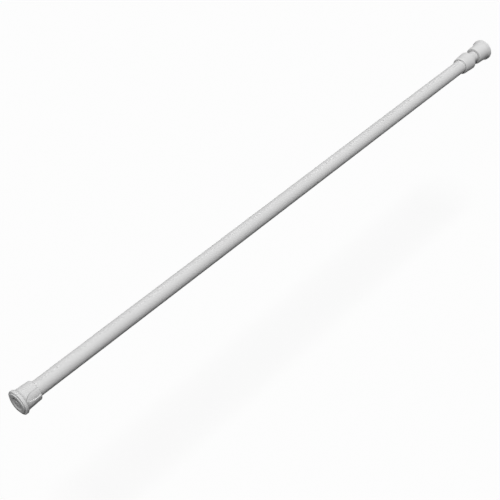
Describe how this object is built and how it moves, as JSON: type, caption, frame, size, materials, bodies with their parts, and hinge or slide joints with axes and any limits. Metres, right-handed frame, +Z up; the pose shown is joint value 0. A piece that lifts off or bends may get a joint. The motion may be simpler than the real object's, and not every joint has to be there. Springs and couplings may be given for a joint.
{
  "type": "spring tension rod",
  "caption": "Telescoping white tension rod with a twist lock and an inner spring, flared end caps and grip pads, wedged between two walls to carry a curtain.",
  "frame": {"origin": "on the rod's axis, at the centre of the fixed end pad's front face", "axes": "+X along the rod towards the sliding end, +Z up, +Y towards the back"},
  "size_m": [1.026, 0.0354, 0.0354],
  "materials": {
    "coated_steel": "white powder coat, satin",
    "white_plastic": "moulded, matt white",
    "grey_rubber": "moulded, matt grey",
    "nylon": "moulded, natural",
    "black_rubber": "smooth",
    "zinc_steel": "zinc plated",
    "spring_steel": "drawn and oiled"
  },
  "bodies": {
    "outer": {"outer_tube": "coated_steel", "collar": "white_plastic", "fixed_end_cap": "white_plastic", "fixed_end_pad": "grey_rubber"},
    "lock_shoe": {"expander_sleeve": "nylon", "drag_ring": "black_rubber"},
    "lock_cone": {"expander_cone": "nylon"},
    "spindle": {"spindle": "zinc_steel", "retaining_clip": "spring_steel", "thrust_washer": "zinc_steel", "piston": "zinc_steel", "piston_nut": "zinc_steel"},
    "inner": {"inner_tube": "coated_steel", "guide_plug": "nylon", "spring": "spring_steel", "spring_stop": "nylon", "sliding_end_cap": "white_plastic", "sliding_end_pad": "grey_rubber"}
  },
  "joints": [
    {"name": "extend", "type": "slide", "parent": "outer", "child": "lock_shoe", "axis": [1, 0, 0], "range_m": [0, 0.9]},
    {"name": "twist", "type": "hinge", "parent": "lock_shoe", "child": "spindle", "pos_m": [0.0553, 0, 0], "axis": [-1, 0, 0], "range_deg": [0, 540]},
    {"name": "draw_cone", "type": "slide", "parent": "lock_shoe", "child": "lock_cone", "axis": [1, 0, 0], "range_m": [0, 0.0031]},
    {"name": "compress", "type": "slide", "parent": "spindle", "child": "inner", "axis": [1, 0, 0], "range_m": [-0.012, 0], "stiffness_N_per_m": 4000, "springref_m": 0.012, "deforming": ["spring"]}
  ],
  "couplings": [
    {"joint": "draw_cone", "follows": "twist", "m_per_rad": 0.00031831}
  ]
}
